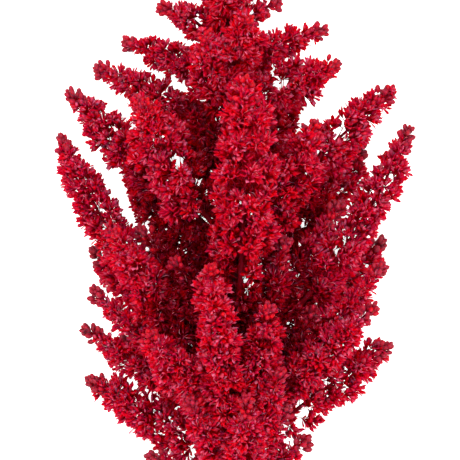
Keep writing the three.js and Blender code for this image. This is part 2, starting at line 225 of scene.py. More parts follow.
def closed_skin(rings, sides):
    """Triangles of one closed shape: two for each cell of a grid of rings by sides, and a fan at each end.

    Ring i, side j is corner i * sides + j, and the two end points follow the rings."""
    ring, side = np.meshgrid(np.arange(rings - 1), np.arange(sides), indexing="ij")
    a, b = ring * sides + side, ring * sides + (side + 1) % sides
    d, c = a + sides, b + sides
    walls = np.stack([a, b, c, a, c, d], -1).reshape(-1, 3)
    j = np.arange(sides)
    start, end = np.full(sides, rings * sides), np.full(sides, rings * sides + 1)
    last = (rings - 1) * sides
    low = np.stack([start, (j + 1) % sides, j], -1)
    high = np.stack([end, last + j, last + (j + 1) % sides], -1)
    return np.concatenate([walls, low, high])


def carried(centres, across, over, outline, start, end):
    """An outline carried along many chains of centres at once, each closed to a point at both ends.

    A corner is centre + x * across + y * over, where (x, y) runs round the outline, counterclockwise from
    across to over, and across x over points along the chain."""
    shapes, rings = centres.shape[:2]
    x, y = outline[:, 0, None], outline[:, 1, None]
    corners = centres[:, :, None] + x * across[:, :, None] + y * over[:, :, None]
    corners = corners.reshape(shapes, rings * len(outline), 3)
    points = np.concatenate([corners, start[:, None], end[:, None]], 1)
    faces = closed_skin(rings, len(outline))
    faces = faces + (np.arange(shapes) * points.shape[1])[:, None, None]
    return points, faces.reshape(-1, 3)


def ring_outline(sides):
    """Corners of a regular outline: (cos, sin) of evenly spaced angles."""
    angle = (np.arange(sides) + 0.5) * 2 * np.pi / sides
    return np.stack([np.cos(angle), np.sin(angle)], -1)


class Parts:
    """Points, triangles and marks of many small shapes, gathered for one mesh."""

    # The mark pale carries a painted highlight, and the shade mark a painted shade.
    MARKS = ("along", "tone", "pale", "deep", "bud", "stalk", "filament", "cut")

    def __init__(self):
        self.points, self.faces, self.marks, self.count = [], [], [], 0

    def add(self, shapes, rings, sides, **marks):
        """Adds shapes with their marks, each a single value, one for each shape, or one for each corner.

        The mark along is each ring's share, and 0 and 1 at the two ends."""
        points, faces = shapes
        marks["along"] = np.concatenate([np.repeat(rings, sides), [0.0, 1.0]])[None]
        columns = np.zeros((len(self.MARKS), *points.shape[:2]))
        for name, value in marks.items():
            columns[self.MARKS.index(name)] = value[:, None] if np.ndim(value) == 1 else value
        self.points.append(points.reshape(-1, 3))
        self.faces.append(faces + self.count)
        self.marks.append(columns.reshape(len(self.MARKS), -1))
        self.count += len(self.points[-1])

    def piece(self, name, material, least_height):
        """The gathered shapes as one object, in metres, with a float attribute for each mark.

        Corners lower than the least height are raised to it, which presses a shape flat at the floor."""
        points = np.concatenate(self.points)
        points[:, 2] = np.maximum(points[:, 2], least_height)
        faces = np.concatenate(self.faces)
        marks = np.concatenate(self.marks, 1)
        mesh = bpy.data.meshes.new(name)
        mesh.from_pydata(points * MM, [], faces)
        mesh.polygons.foreach_set("use_smooth", np.ones(len(faces), bool))
        for label, values in zip(self.MARKS, marks):
            layer = mesh.attributes.new(label, "FLOAT", "POINT")
            layer.data.foreach_set("value", values.astype(np.float32))
        mesh.materials.append(material)
        mesh.update()
        made = bpy.data.objects.new(name, mesh)
        bpy.context.scene.collection.objects.link(made)
        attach(made, "root")
        return made


def node_corners(name):
    """The corners of a CAD node, each once, in millimetres."""
    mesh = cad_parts[name].data
    flat = np.empty(len(mesh.vertices) * 3, np.float32)
    mesh.vertices.foreach_get("co", flat)
    return np.unique(np.round(flat.reshape(-1, 3).astype(float) / MM, 3), axis=0)


def read_raceme(name):
    """A raceme's axis, its girth and how far forward it stands, from its solid's corners.

    s runs along the corners' main direction, towards +Y. The sideways place is c0 + c1 s + c2 s², by least
    squares. The corner at the tip and the one nearest to a first fit in the base quarter then weigh most, so
    that the curve runs through both. The girth is a high percentile of the corners' distance from the axis,
    each divided by how full the raceme is there."""
    corners = node_corners(name)
    centre = corners.mean(0)
    main = np.linalg.svd(corners - centre, full_matrices=False)[2][0]
    main = main * np.sign(main[1])
    s = (corners - centre) @ main
    sideways = corners - centre - s[:, None] * main
    terms = np.stack([np.ones_like(s), s, s**2], 1)
    weight = np.ones(len(s))
    for _ in range(FIT_ROUNDS):
        fit = np.linalg.lstsq(terms * weight[:, None], sideways * weight[:, None], rcond=None)[0]
        off = np.linalg.norm(sideways - terms @ fit, axis=1)
        low = s < np.quantile(s, BASE_QUARTER)
        base, tip = np.where(low, off, np.inf).argmin(), s.argmax()
        weight[:] = 1
        weight[[base, tip]] = END_WEIGHT
    run = np.linspace(s[base], s[tip], 4 * AXIS_SAMPLES)
    line = centre + run[:, None] * main + np.stack([np.ones_like(run), run, run**2], 1) @ fit
    gone = np.concatenate([[0], np.cumsum(np.linalg.norm(np.diff(line, axis=0), axis=1))])
    even = np.linspace(0, gone[-1], AXIS_SAMPLES)
    axis = np.stack([np.interp(even, gone, line[:, k]) for k in range(3)], 1)
    place = (s - s[base]) / (s[tip] - s[base])
    band = (place > GIRTH_BAND[0]) & (place < GIRTH_BAND[1])
    girth = np.percentile(off[band] / fullness(place[band], gone[-1]), GIRTH_PERCENTILE)
    return SimpleNamespace(
        name=name,
        axis=axis,
        middle=axis[AXIS_SAMPLES // 2],
        heading=unit(np.gradient(axis, axis=0)),
        guide=unit(np.cross(main, [0.0, 0.0, 1.0])),
        length=gone[-1],
        girth=max(LEAST_GIRTH, girth),
        forward=between(axis[:, 2].mean(), *FORWARD_HEIGHTS),
    )


def on_axis(raceme, share):
    """Place, heading and the two square directions at each share of a raceme's length, by interpolation.

    A share below zero lies behind the base, straight back along the first heading."""
    at = np.linspace(0, 1, AXIS_SAMPLES)
    place = np.stack([np.interp(share, at, raceme.axis[:, k]) for k in range(3)], -1)
    place = place + (np.minimum(share, 0) * raceme.length)[:, None] * raceme.heading[0]
    heading = unit(np.stack([np.interp(share, at, raceme.heading[:, k]) for k in range(3)], -1))
    across, over = square_to(heading, raceme.guide)
    return place, heading, across, over


def off_axis(raceme, share, turn, lean):
    """A place on the axis, the direction straight out of it at a turn, and that one leaning to the tip."""
    place, heading, across, over = on_axis(raceme, share)
    out = swing(across, over, turn[:, None])
    return place, out, swing(out, heading, lean[:, None])


def fullness(share, length):
    """How full a raceme is: it swells soon after its stalk, tapers evenly, and at the distance d from its
    tip it has 1 - exp(-d / rounding) of its girth."""
    from_tip = (1 - share) * length + TIP_START
    swell = np.minimum(1, BASE_GIRTH + SWELL * share)
    return swell * (1 - TAPER * share) * (1 - np.exp(-from_tip / TIP_ROUNDING))


def spindles(parts, start, end, radius, ring, bow=0.0, tone=0.5, **marks):
    """Thin three-sided spikes from start to end, widest at one ring, which may stand off the line."""
    across, over = square_to(unit(end - start), SPIKE_GUIDE)
    centres = (lerp(start, end, ring) + bow)[:, None]
    wide, high = (across * radius)[:, None], (over * radius)[:, None]
    shapes = carried(centres, wide, high, ring_outline(3), start, end)
    parts.add(shapes, np.array([ring]), 3, tone=tone, **marks)


def petals(parts, florets, ring_shares, ring_widths, draw):
    """Five petals for each floret.

    At share t a petal stands at the angle spread + curl t to its floret's facing, and its place is the sum
    of those headings. Its section is a three-cornered trough, widest past the middle and closed to a point
    at both ends. The mark pale, an even draw to a high power, is a painted pink highlight on few petals."""
    count = len(florets.base) * PETALS
    across, over = square_to(florets.facing, PETAL_GUIDE)
    turn = (np.arange(PETALS) * 2 * np.pi / PETALS) + draw.random((len(florets.base), 1)) * 2 * np.pi
    turn = (turn + draw.normal(0, PETAL_TURN_VARIETY, turn.shape))[..., None]
    outward = swing(across[:, None], over[:, None], turn).reshape(-1, 3)
    axis = np.repeat(florets.facing, PETALS, 0)
    side = np.cross(axis, outward)
    long = np.repeat(florets.length, PETALS) * draw.uniform(*PETAL_SIZES, count)
    first = (np.repeat(florets.spread, PETALS) + draw.normal(0, PETAL_SPREAD_VARIETY, count))[:, None]
    bend = np.repeat(florets.curl, PETALS) + draw.normal(0, PETAL_CURL_VARIETY, count)
    bend = np.where(np.abs(bend) < LEAST_CURL, LEAST_CURL, bend)
    angle = first + bend[:, None] * np.concatenate([[0.0], ring_shares, [1.0]])
    out = (long / bend)[:, None] * (np.cos(first) - np.cos(angle))
    up = (long / bend)[:, None] * (np.sin(angle) - np.sin(first))
    origin = np.repeat(florets.base, PETALS, 0)[:, None]
    chain = origin + out[..., None] * outward[:, None] + up[..., None] * axis[:, None]
    heading = swing(axis[:, None], outward[:, None], angle[:, 1:-1, None])
    wide = np.broadcast_to(side[:, None], heading.shape)
    inner = np.cross(heading, wide)
    twist = draw.normal(0, PETAL_TWIST_VARIETY, count)[:, None, None]
    wide, inner = swing(wide, inner, twist), swing(inner, -wide, twist)
    half = (PETAL_HALF_WIDTH * draw.uniform(*PETAL_BREADTHS, count)[:, None] * ring_widths)[..., None]
    outline = np.array([[1.0, PETAL_DISH], [-1.0, PETAL_DISH], [0.0, -PETAL_KEEL]])
    shapes = carried(chain[:, 1:-1], wide * half, inner * half, outline, chain[:, 0], chain[:, -1])
    tone = np.clip(np.repeat(florets.tone, PETALS) + draw.normal(0, PETAL_TONE_VARIETY, count), 0, 1)
    # Each petal carries its floret's painted shade, and a draw that gives few petals a painted highlight.
    deep, pale = np.repeat(florets.deep, PETALS), draw.random(count) ** PAINTED_HIGHLIGHT_RARITY
    parts.add(shapes, ring_shares, 3, tone=tone, deep=deep, pale=pale)


def filaments(parts, florets, draw):
    """One bent thread for each floret.

    It leans out by a tilt, and its middle stands off that line, inwards, by the bow times its length."""
    count = len(florets.base)
    across, over = square_to(florets.facing, PETAL_GUIDE)
    turn = draw.random((count, 1)) * 2 * np.pi
    tilt = draw.uniform(*FILAMENT_TILTS, (count, 1))
    outward = swing(across, over, turn)
    long = FILAMENT_LENGTH * florets.length / PETAL_LENGTH
    long = (long * draw.uniform(*FILAMENT_LENGTHS, count))[:, None]
    bow = FILAMENT_BOW * long * swing(outward, -florets.facing, tilt)
    end = florets.base + swing(florets.facing, outward, tilt) * long
    spindles(parts, florets.base, end, FILAMENT_RADIUS, ring=0.6, bow=-bow, tone=florets.tone, filament=1)


def buds(parts, base, facing, size, tone, slimness=1.0):
    """Closed buds of a given size, shaped like small five-sided eggs with the blunter end outwards."""
    across, over = square_to(facing, BUD_GUIDE)
    length = BUD_LENGTH * size
    centres = base[:, None] + facing[:, None] * (length[:, None] * BUD_RINGS)[..., None]
    half = ((BUD_HALF_WIDTH * size * slimness)[:, None] * BUD_WIDTHS)[..., None]
    end = base + facing * length[:, None]
    wide, high = across[:, None] * half, over[:, None] * half
    shapes = carried(centres, wide, high, ring_outline(BUD_SIDES), base, end)
    parts.add(shapes, BUD_RINGS, BUD_SIDES, tone=tone, bud=1)


def tube(parts, line, radius, sides, **marks):
    """One closed tube along a line of points, with a radius at each point."""
    across, over = square_to(unit(np.gradient(line, axis=0)), TUBE_GUIDE)
    wide, high = (across * radius[:, None])[None], (over * radius[:, None])[None]
    shapes = carried(line[None], wide, high, ring_outline(sides), line[:1], line[-1:])
    parts.add(shapes, np.linspace(0, 1, len(line)), sides, tone=0.5, **marks)


def distance_to_axis(points, raceme):
    """The least distance from each point to every third sample of a raceme's axis."""
    return np.sqrt(((points[:, None] - raceme.axis[None, ::3]) ** 2).sum(-1).min(1))


def stalk_radius(raceme):
    """A raceme's stalk grows thicker with its length."""
    return STALK_RADIUS + STALK_GROWTH * raceme.length


def back_reach(raceme):
    """How far the florets go on behind the base: most of the way to a near stem, and otherwise a little."""
    way = np.linalg.norm(raceme.axis[0] - stem_centre(raceme.axis[:1, 1])[0])
    short = FRONT_BACK if raceme.forward > FRONT_FROM else SIDE_BACK
    return BACK_SHARE * way if way < short else BACK_LEAST


def shade(base, girth_share, apart, axes):
    """How much painted shade darkens each floret's colour, from 0 to 1: 1 - (1 - a)(1 - b)(1 - c)(1 - d).

    a falls off with the distance from the stem, b with the share of the raceme's own girth, and c with how
    many times further the nearest other raceme's axis is than the floret's own. d grows with how far the
    highest other axis close by stands above the floret, and only near the stem. a and d are less towards
    the plume's top and its foot."""
    centre, y = stem_centre(base[:, 1]), base[:, 1]
    inside = np.minimum((SHADE_TOP - y) / SHADE_RUN, (y - SHADE_FOOT) / SHADE_FOOT_RUN)
    inside = np.clip(inside, LEAST_SHADE, 1)
    from_stem = np.linalg.norm(base - centre, axis=1)
    near = np.clip((STEM_SHADE * inside - from_stem) / (STEM_SHADE - STEM_DARKEST), 0, 1)
    gap = axes[None] - base[:, None]
    close = (gap[..., :2] ** 2).sum(-1) < LID_REACH**2
    lid = np.where(close, gap[..., 2], 0).max(1)
    inmost = between(np.abs(base[:, 0] - centre[:, 0]), *LID_STRETCH)
    a = STEM_DEPTH * inside * near
    b = AXIS_DEPTH * np.clip(1 - girth_share, 0, 1)
    c = SEAM_DEPTH * between(apart, *SEAM_STRETCH)
    d = LID_DEPTH * inside**2 * inmost * between(lid, *LID_HEIGHTS)
    return 1 - (1 - a) * (1 - b) * (1 - c) * (1 - d)


def clumps(raceme, share, turn):
    """The middle of each tuft's clump, along the axis and round it, and how far the tuft stands out in it.

    Clumps stand in rows a little more than the girth apart, some round each row, and every second row is
    turned by half a clump. A tuft stands out by dome (middle - d²), d being its distance from the
    clump's middle over half of the clump's size, and d² at most the edge value."""
    step = CLUMP_LENGTH * raceme.girth / raceme.length
    row = np.round(share / step)
    part = turn * CLUMPS_ROUND / (2 * np.pi) - row / 2
    along = (share / step - row) * 2
    round_it = (part - np.round(part)) * 2
    middle_turn = (np.round(part) + row / 2) * 2 * np.pi / CLUMPS_ROUND
    height = CLUMP_DOME * (DOME_MIDDLE - np.minimum(along**2 + round_it**2, DOME_EDGE))
    return row * step, middle_turn, height


def tuft_girth(raceme, share):
    """How far out the tufts stand: the girth times the fullness, times a reach that is greatest in front,
    drawn in evenly over the last stretch before the tip."""
    reach = np.interp(raceme.forward**GIRTH_REACH_POWER, FORWARD_STEPS, GIRTH_REACH)
    narrowest, stretch = lerp(*NARROWING, raceme.forward), lerp(*NARROWED_STRETCH, raceme.forward)
    narrowed = lerp(narrowest, 1, np.clip((1 - share) * raceme.length / stretch, 0, 1))
    return raceme.girth * fullness(share, raceme.length) * reach * narrowed


def raceme_tufts(raceme, open_share, draw):
    """The tufts of a raceme: their shares, girth and reach, and their branchlets' roots, forks and ends.

    Tuft k sits at the share (k + draw) / count of the flowering stretch and at k golden angles round the
    axis. Its branchlet leans to the tip by an angle that grows along the raceme, and backwards in the burst
    at the base. In front the branchlets fork below their clump's middle, elsewhere on the axis itself."""
    first_share = -back_reach(raceme) / raceme.length
    tufts_per_mm = np.interp(raceme.forward, FORWARD_STEPS, TUFTS_PER_MM)
    count = int(raceme.length * (open_share - first_share) * tufts_per_mm)
    step = np.arange(count)
    share = lerp(first_share, open_share, (step + draw.random(count)) / count)
    turn = GOLDEN_ANGLE * step + draw.normal(0, TURN_VARIETY, count)
    lean = lerp(*TUFT_LEAN, share) + draw.normal(0, LEAN_VARIETY, count)
    lean = lerp(BURST_LEAN, lean, np.clip(share / BURST_SHARE, 0, 1))
    girth = tuft_girth(raceme, share)
    clump, clump_turn, height = clumps(raceme, share, turn)
    clumped = between(raceme.forward, *CLUMPED_FORWARD) * np.clip(share / CLUMP_START, 0, 1)
    reach = girth * (1 + clumped * height) * draw.uniform(*TUFT_REACH, count)
    long = (np.maximum(LEAST_BRANCHLET, reach - PETAL_COVER * PETAL_LENGTH) / np.cos(lean))[:, None]
    pull, gather = clumped * CLUMP_PULL, clumped * CLUMP_GATHER
    place, _, way = off_axis(raceme, lerp(share, clump, pull), lerp(turn, clump_turn, pull), lean)
    root, _, low = off_axis(raceme, lerp(share, clump, gather), lerp(turn, clump_turn, gather), lean)
    fork = root + FORK_DEPTH * clumped[:, None] * long * low
    end = place + long * way
    return SimpleNamespace(share=share, girth=girth, reach=reach, root=root, fork=fork, end=end)


def tuft_florets(raceme, tufts, draw):
    """The florets of all tufts, each with its stalk's foot, its base, facing, tone and tuft.

    The first few fan out at the branchlet's end, the others sit down the branchlet, each a golden angle
    further round it and tilted sideways."""
    count = len(tufts.share)
    each = (count, MOST_FLORETS, 1)
    branch = tufts.end - tufts.fork
    way, long = unit(branch)[:, None], np.linalg.norm(branch, axis=1)[:, None]
    number = np.round(tufts.reach * FLORETS_PER_MM + draw.uniform(*FLORET_NUMBERS, count))
    number = np.clip(number, 1, MOST_FLORETS)[:, None]
    j = np.arange(MOST_FLORETS)[None]
    there = j < number
    in_fan = np.broadcast_to(j < FAN_FLORETS, there.shape)
    down = np.where(in_fan, 1 - FAN_STEP * j, 1 - DOWN_SHARE * (j - FAN_FLORETS + 1) / number)
    side_a, side_b = square_to(way[:, 0], raceme.guide)
    round_it = (GOLDEN_ANGLE * j + draw.random((count, 1)) * 2 * np.pi)[..., None]
    sideways = swing(side_a[:, None], side_b[:, None], round_it)
    stalk = np.where(in_fan, FAN_STALK, FLORET_STALK)[..., None] * draw.uniform(*STALK_LENGTHS, each)
    foot = tufts.fork[:, None] + way * (long * down)[..., None]
    tilt = np.where(in_fan, FAN_TILT, FLORET_TILT)[..., None] + draw.normal(0, TILT_VARIETY, each)
    facing = unit(swing(way, sideways, tilt))
    base = foot + stalk * unit(facing + STALK_BEND * sideways)
    # Painted light: the mean tone is higher in the racemes in front; the spread is the florets' own.
    tone = draw.normal(lerp(*FLORET_TONE, raceme.forward), TUFT_TONE_VARIETY, count)[:, None]
    tone = np.clip(tone + draw.normal(0, FLORET_TONE_VARIETY, there.shape), 0, 1)
    share = np.broadcast_to(tufts.share[:, None], there.shape)
    girth = np.broadcast_to(tufts.girth[:, None], there.shape)
    florets = dict(foot=foot, base=base, facing=facing, tone=tone, share=share, girth=girth, outer=in_fan)
    return only(SimpleNamespace(**florets), there)


def kept_florets(raceme, others, florets):
    """The florets that stay, each with its painted shade.

    A floret that is deeper in another raceme than in its own is left out, and so is one at the floor."""
    near = [o for o in others if np.linalg.norm(o.middle - raceme.middle) < raceme.length + o.length]
    own = distance_to_axis(florets.base, raceme)
    away = np.min([distance_to_axis(florets.base, o) for o in near], axis=0)
    keep = (away > OWN_SHARE * own) & (florets.base[:, 2] > LEAST_HEIGHT)
    florets, own, away = only(florets, keep), own[keep], away[keep]
    axes = np.concatenate([o.axis[::4] for o in near])
    florets.deep = shade(florets.base, own / (AXIS_SHADE * florets.girth), away / own, axes)
    return florets


def flowers(parts, raceme, florets, draw):
    """The open florets with their petals and threads, and the closed ones, all on their stalks.

    The chance to be closed falls evenly over a stretch behind the tip, where the open florets grow to their
    full size. They are wider open near the base."""
    count = len(florets.base)
    grown = between((1 - florets.share) * raceme.length, *YOUNG_STRETCH)
    chance = (1 - grown) * lerp(*CLOSED_CHANCE, raceme.forward**2)
    closed = draw.random(count) < np.clip(chance, *CLOSED_LIMITS)
    end = florets.base + STALK_SINK * florets.facing
    spindles(parts, florets.foot, end, FLORET_STALK_RADIUS, ring=0.8, tone=florets.tone, stalk=0.6)
    grown = lerp(lerp(*YOUNG_FLORET, raceme.forward), 1, grown)
    florets.length = PETAL_LENGTH * draw.uniform(*FLORET_SIZES, count) * grown
    florets.spread = lerp(*FLORET_SPREAD, florets.share**2) + draw.normal(0, SPREAD_VARIETY, count)
    florets.curl = draw.uniform(*PETAL_CURLS, count)
    outer, inner = only(florets, ~closed & florets.outer), only(florets, ~closed & ~florets.outer)
    petals(parts, outer, PETAL_RINGS, PETAL_WIDTHS, draw)
    petals(parts, inner, PLAIN_RINGS, PLAIN_WIDTHS, draw)
    filaments(parts, outer, draw)
    shut = only(florets, closed)
    size = draw.uniform(*BUD_SIZES, closed.sum()) * lerp(YOUNG_BUD, 1, grown[closed])
    buds(parts, shut.base, shut.facing, size, shut.tone)


def branchlets(parts, raceme, tufts):
    """The branchlets, each bent at its fork, and the raceme's own axis as a tube that thins to its tip."""
    bow = tufts.fork - lerp(tufts.root, tufts.end, BRANCHLET_BEND)
    spindles(parts, tufts.root, tufts.end, BRANCHLET_RADIUS, ring=BRANCHLET_BEND, bow=bow, stalk=1)
    line = raceme.axis[::3]
    thick = np.linspace(stalk_radius(raceme), AXIS_TIP_RADIUS, len(line))
    # The axis tube carries a painted shade in its colour.
    tube(parts, line, thick, AXIS_SIDES, stalk=1, deep=AXIS_TUBE_SHADE)


def stalked_buds(parts, raceme, open_share, small, draw):
    """Single buds on stems in the last stretch, a golden angle apart round the axis.

    From the first to the last, their stems grow shorter and lean more to the tip, and they grow smaller."""
    k = np.arange(LONE_BUDS)
    late = k / LONE_BUDS
    share = lerp(open_share - LONE_BEFORE, 1 - LONE_END / raceme.length, late)
    turn = GOLDEN_ANGLE * k + draw.random() * 2 * np.pi
    lean = lerp(*LONE_LEAN, late) + draw.normal(0, LONE_LEAN_VARIETY, LONE_BUDS)
    place, _, way = off_axis(raceme, share, turn, lean)
    stem = lerp(*LONE_STEM, late) * draw.uniform(*LONE_STEM_RANGE, LONE_BUDS)
    size = small * lerp(*LONE_SIZE, late) * draw.uniform(*LONE_SIZE_RANGE, LONE_BUDS)
    # Painted light: the buds' mean tone is higher in the racemes in front; the spread is their own.
    tone = draw.normal(LONE_TONE * raceme.forward, LONE_TONE_VARIETY, LONE_BUDS)
    tone = np.clip(tone, 0, 1)
    foot = place + way * stem[:, None]
    end = foot + LONE_SINK * way
    spindles(parts, place, end, LONE_RADIUS, ring=0.7, tone=tone, stalk=0.5)
    buds(parts, foot, way, size, tone)


def tip_buds(parts, raceme, small, draw):
    """The tight cluster of buds at the tip, a golden angle apart, the last ones nearest to it."""
    k = np.arange(TIP_BUDS)
    late = k / TIP_BUDS
    share = 1 - (TIP_NEAR + (1 - late) * TIP_DEPTH) / raceme.length
    place, out, way = off_axis(raceme, share, GOLDEN_ANGLE * k, lerp(*TIP_LEAN, late))
    size = small * draw.uniform(*TIP_SIZES, TIP_BUDS)
    # Painted light: the tip buds' mean tone is higher in the racemes in front; the spread is their own.
    tone = np.clip(draw.normal(TIP_TONE * raceme.forward, TIP_TONE_VARIETY, TIP_BUDS), 0, 1)
    buds(parts, place + TIP_OUT * out, way, size, tone, TIP_SLIMNESS)


def raceme_piece(raceme, others, material, number):
    """All the florets, buds and branchlets of one raceme, as one piece in the place of its node."""
    draw = np.random.default_rng(SEED + number)
    parts = Parts()
    open_share = max(LEAST_OPEN, 1 - BUD_ZONE * lerp(1, FRONT_BUD_SHARE, raceme.forward) / raceme.length)
    tufts = raceme_tufts(raceme, open_share, draw)
    flowers(parts, raceme, kept_florets(raceme, others, tuft_florets(raceme, tufts, draw)), draw)
    branchlets(parts, raceme, tufts)
    small = lerp(*END_BUD_SIZE, raceme.forward**2)
    stalked_buds(parts, raceme, open_share, small, draw)
    tip_buds(parts, raceme, small, draw)

    piece = parts.piece(raceme.name.replace("raceme", "florets"), material, PRESSED_HEIGHT)
    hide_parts(raceme.name)


def stem_share(y):
    """The share of the stem and crown that lies below y."""
    return (y - STEM_LOW_Y) / (STEM_ARCH_Y - STEM_LOW_Y)


def stem_centre(y):
    """The stem's centre line: a soft sideways bend, and an arch that rises from the floor and levels out."""
    x = STEM_MIDDLE_X + STEM_BEND_X * np.tanh((STEM_BEND_Y - y) / STEM_BEND_LENGTH)
    z = STEM_REST_Z + STEM_RISE * (1 - (1 - stem_share(y)) ** STEM_ARCH_POWER)
    return np.stack([x, y, z], -1)


def stem_radius(y):
    """The stem tapers evenly, and faster just below the topmost raceme."""
    share = stem_share(y)
    return STEM_RADIUS - STEM_TAPER * share - STEM_TOP_TAPER * share**STEM_TAPER_POWER


def stalk_line(raceme):
    """The bare stalk's line: the raceme's axis carried on from its base, back to the stem.

    The place on the stem is the one that the axis, carried straight on, comes nearest to, and nearer places
    are somewhat preferred. The line is (1 - t)² root + 2 t (1 - t) middle + t² end, the root being that
    place, the middle straight behind the base, and the end just past the base."""
    base, back = raceme.axis[0], -raceme.heading[0]
    on_stem = stem_centre(np.linspace(STEM_LOW_Y + STALK_START, STEM_HIGH_Y, STALK_PLACES))
    away = on_stem - base
    ahead = away @ back
    off = np.linalg.norm(away - np.maximum(ahead, 0)[:, None] * back, axis=1)
    root = on_stem[(off + STALK_NEARNESS * np.linalg.norm(away, axis=1)).argmin()]
    middle = base + back * 0.5 * np.linalg.norm(root - base)
    end = base + STALK_OVERLAP * raceme.heading[0]
    t = np.linspace(0, 1, STALK_POINTS)[:, None]
    return (1 - t) ** 2 * root + 2 * t * (1 - t) * middle + t**2 * end


def stem_skin(parts, roots):
    """The stem's skin; returns its lowest centre and ring.

    The radius at height y and angle a is the taper times 1 + depth cos(ribs (a + twist y)) and a finer
    sine, plus a bell-shaped swelling at the root of each stalk. What would be below the floor is pressed
    flat on it, and the lower end is cut on a slant."""
    y = np.linspace(STEM_LOW_Y, STEM_HIGH_Y, STEM_RINGS)
    centre = stem_centre(y)
    across, over = square_to(unit(np.gradient(centre, axis=0)), np.array([1.0, 0.0, 0.0]))
    swell = NODE_SWELL * np.exp(-(((y[:, None] - roots) / NODE_LENGTH) ** 2)).max(1)
    angle = (np.arange(STEM_SIDES) + 0.5) * 2 * np.pi / STEM_SIDES
    turned = angle + RIB_TWIST * y[:, None]
    grain = GRAIN_DEPTH * np.sin(GRAIN_RIBS * turned + GRAIN_DRIFT * y[:, None])
    ribs = RIB_DEPTH * np.cos(STEM_RIBS * turned) + grain
    radius = stem_radius(y)[:, None] * (1 + ribs) + swell[:, None]
    circle = swing(across[:, None], over[:, None], angle[None, :, None])
    rings = centre[:, None] + radius[..., None] * circle
    rings[..., 2] = np.maximum(rings[..., 2], 0)
    slant = CUT_SLANT * (rings[..., 2] - centre[:, None, 2])
    rings[..., 1] += slant * np.clip(1 - (y[:, None] - STEM_LOW_Y) / CUT_RUN, 0, 1)
    points = np.concatenate([rings.reshape(-1, 3), centre[:1], centre[-1:]])[None]
    # Painted shade: the stem's colour darkens where it runs up among the racemes.
    among = np.clip((y - PLUME_START_Y) / PLUME_SHADE, 0, 1)
    deep = PLUME_DARKNESS * np.concatenate([np.repeat(among, STEM_SIDES), among[[0, -1]]])[None]
    shapes = points, closed_skin(STEM_RINGS, STEM_SIDES)
    parts.add(shapes, np.linspace(0, 1, STEM_RINGS), STEM_SIDES, tone=0.5, stalk=1, deep=deep)
    return centre[0], rings[0]


def cut_face(parts, middle, ring):
    """The cut face: a shallow disc of pith, just proud of the end, inside a ring of bark."""
    rim = lerp(middle, ring, PITH_SHARE)
    proud, inside = np.array([0.0, -PITH_PROUD, 0.0]), np.array([0.0, PITH_DEPTH, 0.0])
    rings = [lerp(middle, rim, 0.5) + 2 * proud, rim + proud, rim + inside]
    points = np.concatenate(rings + [middle[None] + 2 * proud, middle[None] + 2 * inside])[None]
    shapes = points, closed_skin(3, STEM_SIDES)
    parts.add(shapes, np.array([0.5, 1.0, 1.0]), STEM_SIDES, tone=0.5, cut=1)


def hairs(parts, draw):
    """Short stiff hairs on the stem: each stands straight out of it, but for a bell-shaped draw."""
    height = draw.uniform(STEM_LOW_Y + HAIR_LOW, STEM_HIGH_Y - HAIR_HIGH, HAIRS)
    turn = draw.random(HAIRS) * 2 * np.pi
    out = np.stack([np.cos(turn), np.zeros(HAIRS), np.sin(turn)], -1)
    foot = stem_centre(height) + out * (stem_radius(height) * HAIR_FOOT)[:, None]
    way = unit(out + draw.normal(0, HAIR_SPREAD, (HAIRS, 3)))
    end = foot + way * draw.uniform(*HAIR_LENGTHS, HAIRS)[:, None]
    spindles(parts, foot, end, HAIR_RADIUS, ring=0.2, filament=0.5)


def stem_piece(racemes, material):
    """The main stem with its cut face, a bare stalk to every raceme but the topmost, and the hairs.

    A stalk is wider where it leaves the stem, by a share that dies away along it."""
    parts = Parts()
    stalked = [raceme for raceme in racemes if raceme.name != "raceme_crown"]
    lines = [stalk_line(raceme) for raceme in stalked]
    cut_face(parts, *stem_skin(parts, np.array([line[0, 1] for line in lines])))
    for line, raceme in zip(lines, stalked):
        thick = stalk_radius(raceme) * (1 + SOCKET_SWELL * np.exp(-np.linspace(0, SOCKET_FADE, len(line))))
        # Each bare stalk carries a painted shade in its colour.
        tube(parts, line, thick, STALK_SIDES, stalk=1, deep=STALK_SHADE)
    hairs(parts, np.random.default_rng(SEED))

    piece = parts.piece("branching_stem", material, 0.0)
    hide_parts("stem")


# Colours, as on a screen.
DEEP_CRIMSON = "#b80319"
MAGENTA_RED = "#b40f3a"
CRIMSON = "#cc0320"
SCARLET = "#e0081c"
# Painted highlight: the pink laid on petal tips and on the few petals whose mark pale is high.
PAINTED_HIGHLIGHT_PINK = "#f26084"
BUD_ROSE = "#a82a40"
BUD_DARK = "#5e0a18"
STALK_MAUVE = "#800c1e"
FILAMENT_PINK = "#f46474"
STEM_BROWN = "#5a2013"
STEM_DARK = "#2b0c09"
STEM_RED = "#761620"
# Painted shade: the dark red mixed into florets, stalks and stem where they lie in shade.
PAINTED_SHADE_RED = "#3c0108"
PITH_GREEN = "#9a9460"
PITH_PALE = "#c6bd92"
WHITE, BLACK = (1.0, 1.0, 1.0, 1.0), (0.0, 0.0, 0.0, 1.0)
COLOUR, NUMBER = "NodeSocketColor", "NodeSocketFloat"


def colour(screen):
    """A screen colour as linear red, green, blue and 1."""
    value = np.array([int(screen[k : k + 2], 16) for k in (1, 3, 5)]) / 255
    linear = np.where(value > 0.04045, ((value + 0.055) / 1.055) ** 2.4, value / 12.92)
    return (*linear, 1.0)


